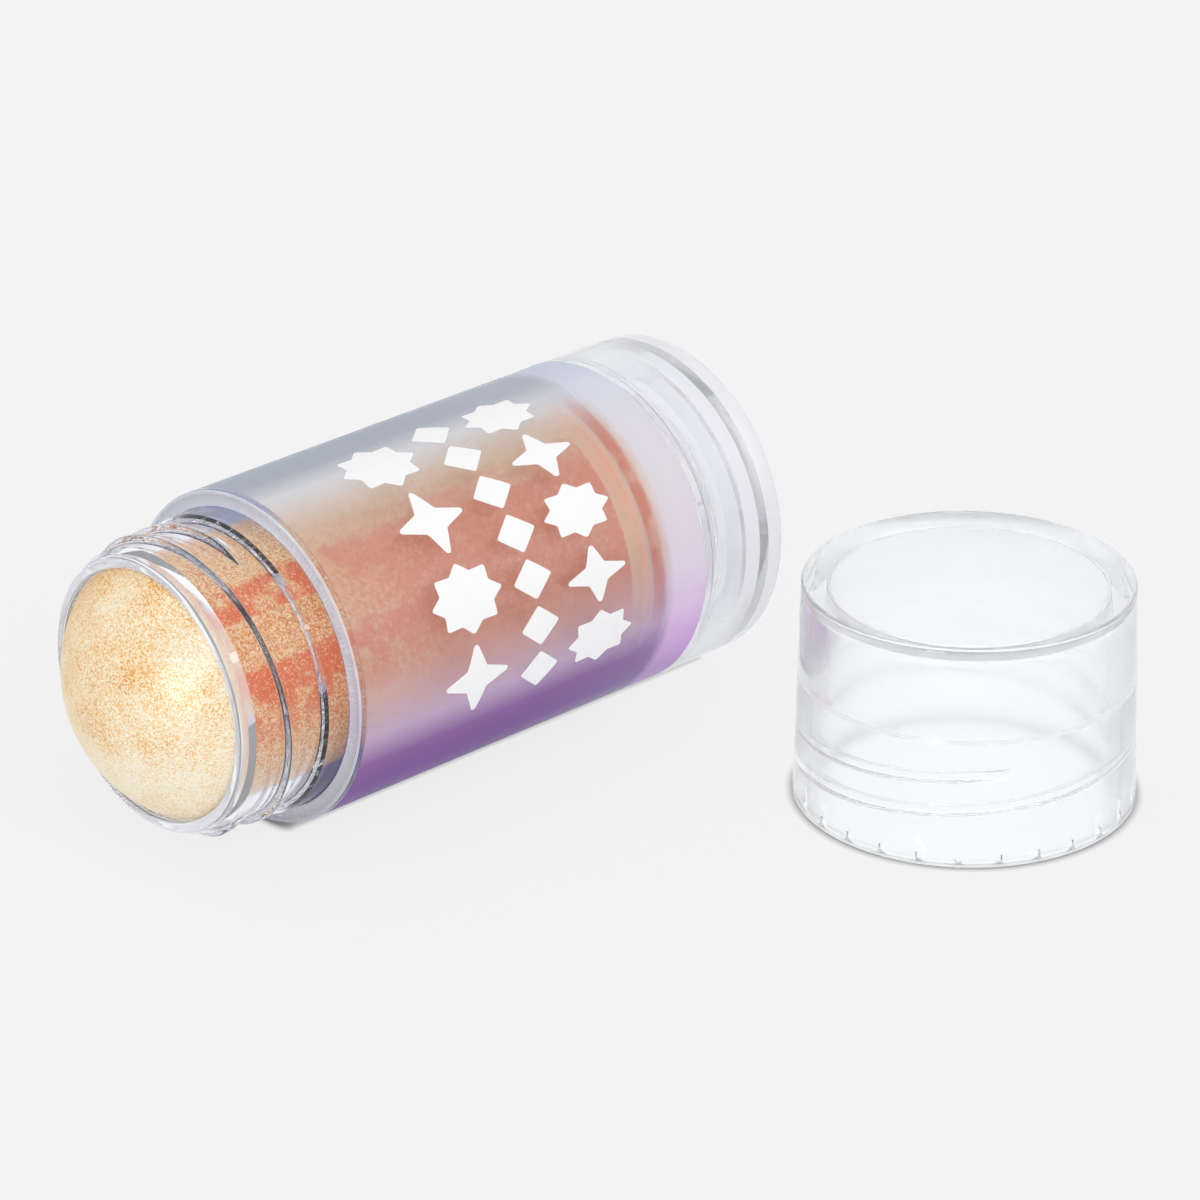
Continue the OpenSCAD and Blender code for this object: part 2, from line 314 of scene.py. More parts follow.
def mix_shaders(tree, factor, first, second):
    """A mix of two shaders."""
    node = add_node(tree, "ShaderNodeMixShader")
    feed(tree, node.inputs["Fac"], factor)
    feed(tree, node.inputs[1], first)
    feed(tree, node.inputs[2], second)
    return node.outputs["Shader"]


def surface(tree, shader):
    """Ends a material with its surface shader."""
    feed(tree, add_node(tree, "ShaderNodeOutputMaterial").inputs["Surface"], shader)


def lamps_pass(tree, shader, tint=(0.985, 0.985, 0.99)):
    """Lets the rays from lamps through a clear piece, a little tinted."""
    open_air = wired(tree, "ShaderNodeBsdfTransparent", "BSDF", Color=(*tint, 1.0))
    shadow = add_node(tree, "ShaderNodeLightPath").outputs["Is Shadow Ray"]
    return mix_shaders(tree, shadow, shader, open_air)


# %% [markdown]
# ## Clear plastic
# The pack is moulded from a clear, glassy plastic. A Principled shader with full transmission bends
# and mirrors light as the plastic does. The index of refraction and the faint blue tint are plain
# values on the shader. Real plastic is never quite clear, and a share of haze, light scattered in it,
# gives thick walls their milky look: little on the tubes, more on the cap and base, most where a face
# is finely ribbed or ends a thick wall. Lamps can't shine through bent light without heavy noise, so
# shadow rays see a see-through stand-in, and what is inside the pack is lit as in the studio.
# %% Clear plastic
PLASTIC_IOR = 1.49
FLOW_SCALE = 180.0
FLOW_DEPTH = 0.0004


def plastic_shader(tree, place_in, tint, haze, wobble, rough=0.0):
    """The shader of clear plastic with some haze and the unevenness of a moulded wall."""
    flow = noise(tree, place_in, FLOW_SCALE, 1.0)
    return principled(tree, Base_Color=(*tint, 1.0), Roughness=rough, IOR=PLASTIC_IOR,
                      Transmission_Weight=1.0 - haze, Normal=unevenness(tree, flow, wobble, FLOW_DEPTH))


def clear_plastic(name, tint, haze, wobble, rough=0.0):
    """Clear moulded plastic."""
    material, tree = new_material(name)
    surface(tree, lamps_pass(tree, plastic_shader(tree, own_place(tree), tint, haze, wobble, rough)))
    return material


def second_finish(piece, material, test):
    """Gives the faces whose radius and height pass a test a second finish, before a piece is laid."""
    piece.data.materials.append(material)
    corners = piece.data.vertices
    for face in piece.data.polygons:
        spots = [corners[v].co for v in face.vertices]
        if all(test(math.hypot(spot.x, spot.y), spot.z) for spot in spots):
            face.material_index = len(piece.data.materials) - 1


sleeve_clear = clear_plastic("sleeve clear plastic", (0.93, 0.945, 1.0), 0.01, 0.05)
barrel_clear = clear_plastic("barrel clear plastic", (0.94, 0.95, 1.0), 0.004, 0.06)
lip_clear = clear_plastic("lip clear plastic", (0.96, 0.97, 1.0), 0.30, 0.02)
shoulder_satin = clear_plastic("shoulder clear plastic", (0.93, 0.95, 1.0), 0.50, 0.0)
base_clear = clear_plastic("base clear plastic", (0.985, 0.99, 1.0), 0.20, 0.04)
base_rim = clear_plastic("base rim clear plastic", (0.975, 0.975, 1.0), 0.72, 0.04)
base_satin = clear_plastic("base satin inside", (0.985, 0.99, 1.0), 0.18, 0.04, 0.10)
cap_clear = clear_plastic("cap clear plastic", (0.985, 0.993, 1.0), 0.11, 0.08)
cap_satin = clear_plastic("cap satin inside", (0.985, 0.993, 1.0), 0.10, 0.04, 0.20)
print("clear plastics", [m.name for m in bpy.data.materials if "clear" in m.name])

# %% [markdown]
# ## The screw thread
# The neck carries two ridges that wind up side by side, and the cap has the same pair inside. A sweep
# along a helix joined on with a Boolean would leave pinched shading where they meet, and glass shows
# every pinch. So the ridges are grown out of the wall: a Geometry Nodes tree reads each marked point's
# angle and height, works out how far it is from the nearest turn of the helix, and moves it out, or
# in, by the ridge's height there. The run-outs at both ends are the same smooth step.
# %% The thread tree
THREAD_LEAD = 8.4
THREAD_STARTS = 2
THREAD_HEIGHT = 0.85
THREAD_CREST = 0.85
THREAD_FLANK = 0.26
THREAD_FADE = 22.0
NUMBER = "NodeSocketFloat"


def tree_with_inputs(name, inputs):
    """A geometry tree with one geometry in and out and named inputs, and its group input node."""
    tree = bpy.data.node_groups.new(name, "GeometryNodeTree")
    tree.interface.new_socket("Geometry", in_out="INPUT", socket_type="NodeSocketGeometry")
    for label, (kind, value) in inputs.items():
        socket = tree.interface.new_socket(label, in_out="INPUT", socket_type=kind)
        if value is not None:
            socket.default_value = value
    tree.interface.new_socket("Geometry", in_out="OUTPUT", socket_type="NodeSocketGeometry")
    return tree, add_node(tree, "NodeGroupInput")


def end_tree(tree, geometry, material_socket):
    """Ends a tree the way the export needs: real geometry with its material."""
    real = wired(tree, "GeometryNodeRealizeInstances", "Geometry", Geometry=geometry)
    painted = wired(tree, "GeometryNodeSetMaterial", "Geometry", Geometry=real,
                    Material=material_socket)
    feed(tree, add_node(tree, "NodeGroupOutput").inputs["Geometry"], painted)


def points_at(tree):
    """X, Y and Z of each point of a geometry."""
    return split(tree, add_node(tree, "GeometryNodeInputPosition").outputs[0])


def on_mark(tree, mark):
    """1 on the points that carry a mark, 0 on the rest."""
    found = wired(tree, "GeometryNodeInputNamedAttribute", "Attribute", {"data_type": "FLOAT"},
                  Name="mark")
    return calc(tree, "COMPARE", found, mark, 0.1)


def moved(tree, geometry, **values):
    """A geometry whose points have an offset or a new position."""
    return wired(tree, "GeometryNodeSetPosition", "Geometry", Geometry=geometry, **values)


def run_tree(piece, tree, values):
    """Runs a tree on an object with the given inputs and keeps the result as a plain mesh."""
    modifier = piece.modifiers.new(tree.name, "NODES")
    modifier.node_group = tree
    for item in tree.interface.items_tree:
        if item.in_out == "INPUT" and item.name in values:
            modifier[item.identifier] = values[item.name]
    bpy.context.view_layer.update()
    evaluated = piece.evaluated_get(bpy.context.evaluated_depsgraph_get())
    made = bpy.data.meshes.new_from_object(evaluated)
    piece.modifiers.remove(modifier)
    made.name = piece.name
    piece.data = made
    print(piece.name, "is now", len(made.polygons), "faces")


def thread_tree():
    """Moves marked points of an upright turned wall out along two helical ridges."""
    tree, given = tree_with_inputs("screw thread", {
        "Lead": (NUMBER, 8.0), "First": (NUMBER, 0.0), "Turn": (NUMBER, 0.0),
        "Span": (NUMBER, 200.0), "Fade": (NUMBER, 20.0), "Height": (NUMBER, 1.0),
        "Crest": (NUMBER, 1.0), "Flank": (NUMBER, 0.3), "Material": ("NodeSocketMaterial", None)})
    give = given.outputs
    x, y, z = points_at(tree)
    degrees = calc(tree, "DEGREES", calc(tree, "ARCTAN2", y, x))
    tallest = 0.0
    for start in range(THREAD_STARTS):
        from_turn = calc(tree, "SUBTRACT", degrees, give["Turn"])
        shifted = calc(tree, "SUBTRACT", from_turn, 360.0 * start / THREAD_STARTS)
        along = calc(tree, "FLOORED_MODULO", shifted, 360.0)
        rise = times(tree, give["Lead"], calc(tree, "DIVIDE", along, 360.0))
        away = calc(tree, "ABSOLUTE", calc(tree, "SUBTRACT", z, calc(tree, "ADD", rise, give["First"])))
        half = times(tree, give["Crest"], 0.5)
        ridge = ease(tree, away, calc(tree, "ADD", half, give["Flank"]), half)
        run_in = ease(tree, along, 0.0, give["Fade"])
        run_out = ease(tree, along, give["Span"], calc(tree, "SUBTRACT", give["Span"], give["Fade"]))
        here = times(tree, ridge, times(tree, run_in, run_out))
        tallest = calc(tree, "MAXIMUM", tallest, here)
    out_by = times(tree, tallest, give["Height"], on_mark(tree, THREAD_MARK))
    outward = wired(tree, "ShaderNodeVectorMath", "Vector", {"operation": "NORMALIZE"},
                    Vector=join(tree, x, y))
    offset = wired(tree, "ShaderNodeVectorMath", "Vector", {"operation": "SCALE"},
                   Vector=outward, Scale=out_by)
    end_tree(tree, moved(tree, give["Geometry"], Offset=offset), give["Material"])
    return tree


SCREW_THREAD = thread_tree()
print("thread tree has", len(SCREW_THREAD.nodes), "nodes")

# %% [markdown]
# ## The inner barrel and its neck
# The barrel is the tube that holds the balm. It ends in a collar, the threaded neck and a rounded lip.
# Under its floor a spigot with a snap bead reaches into the base. Its profile is drawn once, with
# closely spaced marked rows where the thread grows.
# %% Inner barrel
lip_len = 1.1
lip_step = 0.6
lip_round = 0.45
lip_r = neck_r - lip_step
floor_low = parting_s + 0.9
floor_high = floor_low + 2.0
floor_hole_r = 4.08
spigot_r = 17.0
bead_low = base_high.x - 3.2
bead_high = bead_low + 0.8
bead_r = spigot_r + 0.4
chamfer = 0.35
key_end = lip_s - 2.3
key_r = bore_r - 0.5
key_turn = 212.0
KEY_COUNT = 2
thread_first = shoulder_s + collar_len + 2.0
thread_span = 255.0
thread_turn = 152.0
thread_low = thread_first - 1.3
thread_high = thread_first + THREAD_LEAD * thread_span / 360 + 1.2

barrel_profile = [
    (bore_r, spigot_s), (spigot_r - chamfer, spigot_s), (spigot_r, spigot_s + chamfer),
    (spigot_r, bead_low), (bead_r, (bead_low + bead_high) / 2), (bead_r, bead_high),
    (spigot_r, bead_high), (spigot_r, parting_s), (collar_r, parting_s),
    *rows(collar_r, parting_s + 0.2, shoulder_s + collar_len - chamfer, 6.0),
    (collar_r - chamfer, shoulder_s + collar_len), (neck_r + 0.1, shoulder_s + collar_len),
    (neck_r, shoulder_s + collar_len + 0.1),
    *rows(neck_r, thread_low, thread_high, TIGHT_ROW, THREAD_MARK),
    (neck_r, lip_s - lip_len - lip_step), (lip_r, lip_s - lip_len),
    *arc_points(lip_r - lip_round, lip_s - lip_round, lip_round, 0, 90),
    *arc_points(bore_r + lip_round, lip_s - lip_round, lip_round, 90, 180),
    (bore_r, key_end + 0.05), *rows(bore_r, key_end, floor_high + 0.02, 6.0, KEY_MARK),
    (bore_r, floor_high), (floor_hole_r, floor_high), (floor_hole_r, floor_low),
    (bore_r, floor_low)]
barrel = turned("barrel", barrel_profile)
grooves(barrel, KEY_MARK, KEY_COUNT, key_turn, 1.2, key_r)
run_tree(barrel, SCREW_THREAD, {
    "Lead": THREAD_LEAD, "First": thread_first, "Turn": thread_turn, "Span": thread_span,
    "Fade": THREAD_FADE, "Height": THREAD_HEIGHT, "Crest": THREAD_CREST,
    "Flank": THREAD_FLANK, "Material": barrel_clear})
second_finish(barrel, lip_clear, lambda r, s: s > lip_s - lip_len - lip_step - 0.05)
place(barrel, LAY_DOWN, "container", "barrel_clear", "inner_barrel")

# %% [markdown]
# ## The label's tint
# The label is tinted round the stick: blue-grey on top, nearly clear and a little warm at the front,
# lilac and then deep purple underneath. It is weaker towards the base, where a pale band ends it. The
# film carries the tint, and so does the face of the sleeve that the film is stuck to, because light
# that runs inside the sleeve's wall meets the label there and carries its colours to the shoulder. So
# the tint is made once, for both materials, as colours over the share of a turn round the stick.
# %% Label tint
INNER_STOPS = [
    (0.00, (0.70, 0.78, 1.0)), (0.20, (0.74, 0.80, 1.0)), (0.30, (0.86, 0.88, 1.0)),
    (0.36, (0.96, 0.93, 0.97)), (0.50, (0.90, 0.84, 0.98)), (0.53, (0.46, 0.24, 0.70)),
    (0.555, (0.46, 0.24, 0.70)), (0.58, (0.72, 0.84, 1.0)), (0.66, (0.72, 0.88, 1.0)),
    (1.00, (0.70, 0.78, 1.0))]
INNER_COVER = 0.72
INNER_DIFFUSE = 0.3
END_BAND = 0.0193
BAND_EDGE = 0.0012
BAND_COVER = 0.72
BAND_STOPS = [
    (0.20, (0.74, 0.80, 0.92)), (0.27, (0.86, 0.88, 0.95)), (0.40, (0.88, 0.86, 0.90)),
    (0.48, (0.96, 0.87, 0.98)), (0.53, (0.98, 0.80, 1.0)), (0.57, (0.88, 0.58, 0.96)),
    (0.62, (0.60, 0.34, 0.76))]
WARM_STOPS = [
    (0.29, (0.99, 0.98, 0.98)), (0.335, (1.0, 0.945, 0.895)), (0.37, (1.0, 0.915, 0.85)),
    (0.41, (1.0, 0.965, 0.925)), (0.50, (0.99, 0.98, 0.98))]
TINT_STOPS = [
    (0.00, (0.50, 0.42, 0.66), 0.60), (0.12, (0.60, 0.64, 0.74), 0.60),
    (0.20, (0.48, 0.55, 0.66), 0.72), (0.24, (0.54, 0.59, 0.66), 0.70),
    (0.27, (0.88, 0.88, 0.88), 0.62), (0.295, (0.97, 0.88, 0.78), 0.30),
    (0.325, (0.98, 0.70, 0.45), 0.03), (0.46, (0.98, 0.66, 0.45), 0.02),
    (0.505, (0.93, 0.72, 0.82), 0.22), (0.53, (0.84, 0.68, 0.86), 0.46),
    (0.565, (0.36, 0.15, 0.47), 0.85), (0.60, (0.27, 0.085, 0.44), 1.0),
    (0.72, (0.18, 0.045, 0.36), 1.0), (0.86, (0.36, 0.30, 0.58), 0.75),
    (1.00, (0.50, 0.42, 0.66), 0.60)]


def label_tint(tree):
    """Object coordinates, the share of a turn, the label's colour and how much it covers."""
    place_in, station, angle = around_stick(tree)
    share = calc(tree, "DIVIDE", angle, 360.0)
    tint = ramp(tree, share, [(spot, colour) for spot, colour, _ in TINT_STOPS])
    cover = ramp(tree, share, [(spot, (amount,) * 3) for spot, _, amount in TINT_STOPS])
    weaker = ease(tree, station, 0.013, 0.046, 0.55, 1.0)
    cover = times(tree, cover, weaker)
    band = ease(tree, station, END_BAND + BAND_EDGE, END_BAND - BAND_EDGE)
    tint = blend_colours(tree, band, tint, ramp(tree, share, BAND_STOPS))
    return place_in, share, tint, calc(tree, "MAXIMUM", cover, times(tree, band, BAND_COVER))


def label_back_material():
    """The sleeve's face under the label: clear plastic that shows the tint from inside."""
    material, tree = new_material("sleeve under the label")
    place_in, share, _, cover = label_tint(tree)
    plastic = plastic_shader(tree, place_in, (0.98, 0.985, 1.0), 0.015, 0.0)
    back = ramp(tree, share, INNER_STOPS)
    glow = wired(tree, "ShaderNodeBsdfTranslucent", "BSDF", Color=back)
    matt = wired(tree, "ShaderNodeBsdfDiffuse", "BSDF", Color=back)
    paint = mix_shaders(tree, INNER_DIFFUSE, glow, matt)
    body = mix_shaders(tree, times(tree, cover, INNER_COVER), plastic, paint)
    surface(tree, lamps_pass(tree, body))
    return material


label_back = label_back_material()
print("tint stops", len(TINT_STOPS))

# %% [markdown]
# ## The fine ribs of the shoulder
# The sleeve's shoulder glitters with very fine radial ribs. They could be cut one by one, but they
# repeat by a rule, so a small tree waves the points of the face. Four columns to each rib are enough
# for its crest, its trough and the two slopes between them.
# %% The rib tree
RIB_COUNT = 220
RIB_DEPTH = 0.2
COLUMNS_A_RIB = 4


def rib_tree():
    """Sinks marked points of an upright turned face in fine radial ribs."""
    tree, given = tree_with_inputs("fine ribs", {
        "Count": (NUMBER, 300.0), "Depth": (NUMBER, 0.05), "Material": ("NodeSocketMaterial", None)})
    give = given.outputs
    x, y, _ = points_at(tree)
    wave = calc(tree, "COSINE", times(tree, calc(tree, "ARCTAN2", y, x), give["Count"]))
    sink = times(tree, calc(tree, "SUBTRACT", wave, 1.0), times(tree, give["Depth"], 0.5))
    down = join(tree, z=times(tree, sink, on_mark(tree, RIB_MARK)))
    end_tree(tree, moved(tree, give["Geometry"], Offset=down), give["Material"])
    return tree


FINE_RIBS = rib_tree()
print("rib tree has", len(FINE_RIBS.nodes), "nodes")

# %% [markdown]
# ## The outer sleeve
# A second clear tube is pressed over the barrel. Its outside has a shallow panel for the label, and it
# ends in the flat shoulder that the cap closes on. Two walls with air between them give the double
# edges that such packs show. Its shoulder is satin and the face under the label carries the tint.
# %% Outer sleeve
sleeve_bore = collar_r + wall_gap
panel_r = stick_r - 0.15
label_end_s = film_high.x
shoulder_round = 0.3
sleeve_profile = [
    *rows(sleeve_bore, shoulder_s, parting_s, 6.0), (panel_r, parting_s),
    *rows(panel_r, parting_s + 0.1, label_end_s - 0.05, 6.0),
    (panel_r, label_end_s), (stick_r, label_end_s),
    *arc_points(stick_r - shoulder_round, shoulder_s - shoulder_round, shoulder_round, 0, 90),
    (stick_r - 0.5, shoulder_s), (stick_r - 0.6, shoulder_s, RIB_MARK),
    (sleeve_bore + 0.2, shoulder_s, RIB_MARK), (sleeve_bore + 0.1, shoulder_s)]
sleeve = turned("sleeve", sleeve_profile, COLUMNS_A_RIB * RIB_COUNT)
run_tree(sleeve, FINE_RIBS, {"Count": float(RIB_COUNT), "Depth": RIB_DEPTH, "Material": sleeve_clear})
second_finish(sleeve, label_back, lambda r, s: abs(r - panel_r) < 0.01)
second_finish(sleeve, shoulder_satin, lambda r, s: s > shoulder_s - 0.2 and r > sleeve_bore + 0.05)
place(sleeve, LAY_DOWN, "container", "sleeve_clear", "outer_sleeve")

# %% [markdown]
# ## The turning base
# The base is a thick clear cup. Inside it are a guide ring for the barrel's spigot and a hub for the
# spindle's foot, which show as soft rings through the wall. The end plate is so thick that it looks
# milky, and the inside, which no one polishes in the mould, is satin.
# %% Twist base
base_round = 1.0
plate_t = 2.75
cup_r = spigot_r + 0.08
guide_r = bore_r - 0.4
guide_in_r = guide_r - 1.4
guide_top = plate_t + 3.9
hub_r = 8.2
hub_bore = 5.55
spline_w = 1.7
spline_r = 6.45
hub_top = floor_low - 0.08 - 1.5
bead_clear = 0.08
base_top = base_high.x
base_profile = [
    (0.0, 0.0), *arc_points(stick_r - base_round, base_round, base_round, -90, 0),
    *rows(stick_r, plate_t, base_top, 4.0), (cup_r, base_top), (cup_r, bead_high + bead_clear),
    (cup_r + 0.4, bead_high + bead_clear), (cup_r + 0.4, (bead_low + bead_high) / 2 - bead_clear),
    (cup_r, bead_low - bead_clear), (cup_r, plate_t), (guide_r, plate_t), (guide_r, guide_top),
    (guide_in_r, guide_top), (guide_in_r, plate_t), (hub_r, plate_t), (hub_r, hub_top),
    (hub_bore, hub_top, SPLINE_MARK), (hub_bore, plate_t - 0.02, SPLINE_MARK),
    (0.0, plate_t - 0.02)]
base = turned("base", base_profile)
grooves(base, SPLINE_MARK, 4, 0.0, spline_w, spline_r)
base.data.materials.append(base_clear)
second_finish(base, base_satin, lambda r, s: s > plate_t - 0.1 and r < cup_r + 0.5)
second_finish(base, base_rim, lambda r, s: s < plate_t + 0.01 and r > hub_bore + 0.01)
place(base, LAY_DOWN, "base", "base_clear", "twist_base")

# %% [markdown]
# ## The cap
# The cap is one clear moulding with a thick top and a wall that leans in a little. Inside are the
# mating thread, a step above it and a plain cavity. The same thread tree grows its ridges, this time
# inwards. A ring of small notches round its mouth is cut like the keys of the barrel, by moving marked
# points. The inside is satin, as the base's is.
# %% Cap
cap_h = cap_high.z - cap_low.z
cap_lean = 0.67
cap_round = 0.5
cap_top_t = 2.2
cap_bore = 18.15
cap_cavity = 16.23
cap_step = 14.9
cap_thread_first = 4.5
cap_thread_span = 290.0
cap_thread_turn = -47.7
cap_thread_height = 0.95
ceiling = cap_h - cap_top_t
notch_count = 26
notch_h = 1.1
notch_depth = 0.45
notch_w = 0.6
thread_to = cap_thread_first + THREAD_LEAD * cap_thread_span / 360 + 1.2
cap_profile = [
    (cap_bore + chamfer, 0.0, NOTCH_MARK), (stick_r - 0.15, 0.0), (stick_r, 0.15),
    *rows(stick_r, 0.6, cap_h - cap_round - 0.1, 6.0, end_x=stick_r - cap_lean),
    *arc_points(stick_r - cap_lean - cap_round, cap_h - cap_round, cap_round, 0, 90),
    (0.0, cap_h), (0.0, ceiling), (cap_cavity - cap_round, ceiling),
    *arc_points(cap_cavity - cap_round, ceiling - cap_round, cap_round, 90, 0),
    *rows(cap_cavity, ceiling - 1.0, cap_step + 0.1, 4.0), (cap_cavity, cap_step),
    (cap_bore, cap_step), *rows(cap_bore, thread_to, cap_thread_first - 1.3, TIGHT_ROW, THREAD_MARK),
    (cap_bore, notch_h + 0.05), (cap_bore, notch_h, NOTCH_MARK), (cap_bore, chamfer, NOTCH_MARK)]
cap = turned("cap_shell", cap_profile, CAP_COLUMNS)
grooves(cap, NOTCH_MARK, notch_count, 0.0, notch_w, cap_bore + notch_depth)
run_tree(cap, SCREW_THREAD, {
    "Lead": THREAD_LEAD, "First": cap_thread_first, "Turn": cap_thread_turn,
    "Span": cap_thread_span, "Fade": THREAD_FADE, "Height": -cap_thread_height, "Crest": THREAD_CREST,
    "Flank": THREAD_FLANK, "Material": cap_clear})
second_finish(cap, cap_satin, lambda r, s: s < ceiling + 0.1 and r < cap_bore + notch_depth + 0.05)
place(cap, STAND_CAP, "container", "cap_clear", "cap")

# %% [markdown]
# ## The balm
# The product is a poured balm full of mica: warm cream and gold in a fine grain. Its flakes carry a
# fine bump, and a few random flakes are painted whiter as painted glints. Where it wets the wall of the
# barrel it looks deep orange, and where a film of air is left it looks pale; in the neck, the pale
# stripe left between two narrow wetted bands, where the key lamp falls, is a painted highlight. The
# grain is cells of a Voronoi pattern far smaller than a millimetre, the wetted stretches are bands
# along the stick with ragged edges, and the side of the balm away from the key lamp is painted a
# little darker and more gold in colour, as painted shade.
# %% Balm material
PEARL = (0.93, 0.88, 0.74)
CREAM = (0.90, 0.77, 0.52)
GOLD = (0.87, 0.56, 0.24)
AMBER = (0.76, 0.33, 0.08)
WETTED = (0.80, 0.12, 0.0)
FLAKE_SCALE = 6200.0


def balm_grain(tree, place_in):
    """The colour of the balm, three random numbers for each flake and its soft patches."""
    flakes = wired(tree, "ShaderNodeTexVoronoi", "Color", {"feature": "F1"}, Vector=place_in,
                   Scale=FLAKE_SCALE)
    tones = add_node(tree, "ShaderNodeSeparateColor")
    feed(tree, tones.inputs[0], flakes)
    patches = noise(tree, place_in, 260.0, 3.0, 0.6)
    broad = noise(tree, place_in, 70.0, 1.0)
    mixed = calc(tree, "ADD", times(tree, tones.outputs[0], 0.30), times(tree, patches, 0.30))
    mixed = calc(tree, "ADD", mixed, times(tree, broad, 0.40))
    colour = ramp(tree, mixed, [(0.28, AMBER), (0.38, GOLD), (0.51, CREAM), (0.62, PEARL)])
    return colour, tones.outputs, patches


def wet_bands_with_painted_highlight_gap(tree, place_in, station, angle, grain, patches):
    """How much of the balm wets the wall, in bands with ragged edges along the stick, with a painted
    highlight between two of them in the neck.
    """
    stretch = add_node(tree, "ShaderNodeVectorMath", operation="MULTIPLY")
    feed(tree, stretch.inputs[0], place_in)
    feed(tree, stretch.inputs[1], (60.0, 420.0, 420.0))
    ragged = noise(tree, stretch.outputs[0], 1.0, 4.0, 0.65)
    seen = calc(tree, "ADD", angle, times(tree, calc(tree, "SUBTRACT", ragged, 0.5), 24.0))
    # Painted highlight: the two narrow bands leave a pale stripe between them, at about 133 to 152
    # degrees, where the key lamp falls.
    upper = times(tree, ease(tree, seen, 115.0, 120.0), ease(tree, seen, 135.0, 131.0))
    lower = times(tree, ease(tree, seen, 150.0, 155.0), ease(tree, seen, 200.0, 165.0))
    bands = times(tree, calc(tree, "MAXIMUM", upper, lower), ease(tree, patches, 0.36, 0.52))
    broad = times(tree, ease(tree, seen, 108.0, 124.0), ease(tree, seen, 208.0, 186.0))
    deep = ease(tree, station, 0.068, 0.050, 0.12, 1.0)
    wet = calc(tree, "MAXIMUM", bands, times(tree, broad, deep))
    on_side = ease(tree, station, (lip_s - 1.2) * MM, (lip_s - 2.2) * MM)
    return times(tree, wet, on_side, ease(tree, grain, 1.0, 0.70, 0.40, 1.0))


def balm_material():
    """Pearly gold balm: fine grain, painted glints, painted shade away from the key and wetted bands
    along its side.
    """
    material, tree = new_material("shimmer balm")
    place_in, station, angle = around_stick(tree)
    colour, tones, patches = balm_grain(tree, place_in)
    side = ease(tree, station, (lip_s - 0.3) * MM, (lip_s - 2.0) * MM)
    colour = blend_colours(tree, times(tree, side, 0.9), colour, (1.0, 0.76, 0.44), "MULTIPLY")
    speckle = times(tree, side, ease(tree, tones[0], 0.70, 0.20, 0.0, 0.9))
    colour = blend_colours(tree, speckle, colour, (0.88, 0.55, 0.28), "MULTIPLY")
    # Painted shade: the side of the balm away from the key lamp (negative Y) is multiplied darker and
    # more gold in colour.
    painted_shade_away_from_key = ease(tree, split(tree, place_in)["Y"], 0.004, -0.012, 0.0, 0.8)
    colour = blend_colours(tree, painted_shade_away_from_key, colour, (0.98, 0.84, 0.62), "MULTIPLY")
    wet = wet_bands_with_painted_highlight_gap(tree, place_in, station, angle, tones[0], patches)
    colour = blend_colours(tree, wet, colour, WETTED)
    # Painted glints: a few random flakes are mixed towards white, less where the balm is wet.
    painted_glint = ease(tree, tones[1], 0.90, 0.97, 0.0, 0.6)
    painted_glint = times(tree, painted_glint, calc(tree, "SUBTRACT", 1.0, times(tree, wet, 0.8)))
    colour = blend_colours(tree, painted_glint, colour, (1.0, 0.96, 0.84))
    pearly = ease(tree, side, 0.0, 1.0, 0.26, 0.02)
    surface(tree, principled(
        tree, Base_Color=colour, Metallic=pearly, Roughness=0.40, Specular_IOR_Level=0.45,
        Normal=unevenness(tree, tones[2], 0.35, 0.00006)))
    return material


shimmer = balm_material()

# %% [markdown]
# The balm's mesh is turned like the rest. Its end is a cap of a sphere whose edge meets the barrel
# just under the lip, with a softened rim.
# %% Balm mesh
DOME_STEPS = 60
balm_r = 14.92
dome_s = lip_s - 0.6
dome_h = product_high.x - dome_s
dome_r = (balm_r ** 2 + dome_h ** 2) / (2 * dome_h)
dome_half = math.asin(balm_r / dome_r)
dome_points = []
for i in range(DOME_STEPS + 1):
    a = dome_half * (1 - i / DOME_STEPS)
    dome_points.append((dome_r * math.sin(a), product_high.x - dome_r * (1 - math.cos(a))))
keyway_end = key_end + 0.3
keyway_w = 1.4
balm_profile = [(0.0, product_low.x), *rows(balm_r, product_low.x, keyway_end, 2.0, KEY_MARK),
                (balm_r, keyway_end + 0.05), (balm_r, dome_s - 0.05), *dome_points]
balm = turned("balm", balm_profile)
grooves(balm, KEY_MARK, KEY_COUNT, key_turn, keyway_w, key_r - 0.1)
balm.data.materials.append(shimmer)
place(balm, LAY_DOWN, "lift", "product", "product_stick")

# %% [markdown]
# Filling leaves a trace of balm on the barrel's wall below the elevator, which shows through the label
# as a deep orange line. It could be painted on the barrel, but balm has a body, so it is a very thin
# ring that stays with the barrel, rubbed pale at its lower edge and open where the keys run.
# %% Trace of balm
trace_low = floor_high + 0.9
trace_high = floor_high + 3.2


def trace_material():
    """A smear of wetted balm with pale gaps in it."""
    material, tree = new_material("trace of balm")
    place_in, station, _ = around_stick(tree)
    patchy = ease(tree, noise(tree, place_in, 160.0, 3.0, 0.6), 0.30, 0.50)
    colour = blend_colours(tree, patchy, (0.93, 0.55, 0.33), WETTED)
    rubbed = ease(tree, station, (trace_low + 0.6) * MM, (trace_low + 0.1) * MM)
    colour = blend_colours(tree, rubbed, colour, (0.93, 0.78, 0.74))
    surface(tree, principled(tree, Base_Color=colour, Roughness=0.5))
    return material


trace = turned("balm_trace", [(bore_r - 0.03, trace_low), (bore_r - 0.03, trace_high),
                              (bore_r - 0.09, trace_high - 0.1), (bore_r - 0.09, trace_low + 0.1)])
grooves(trace, 0.0, KEY_COUNT, key_turn, keyway_w, key_r - 0.08)
trace.data.materials.append(trace_material())
place(trace, LAY_DOWN, "container", "product")

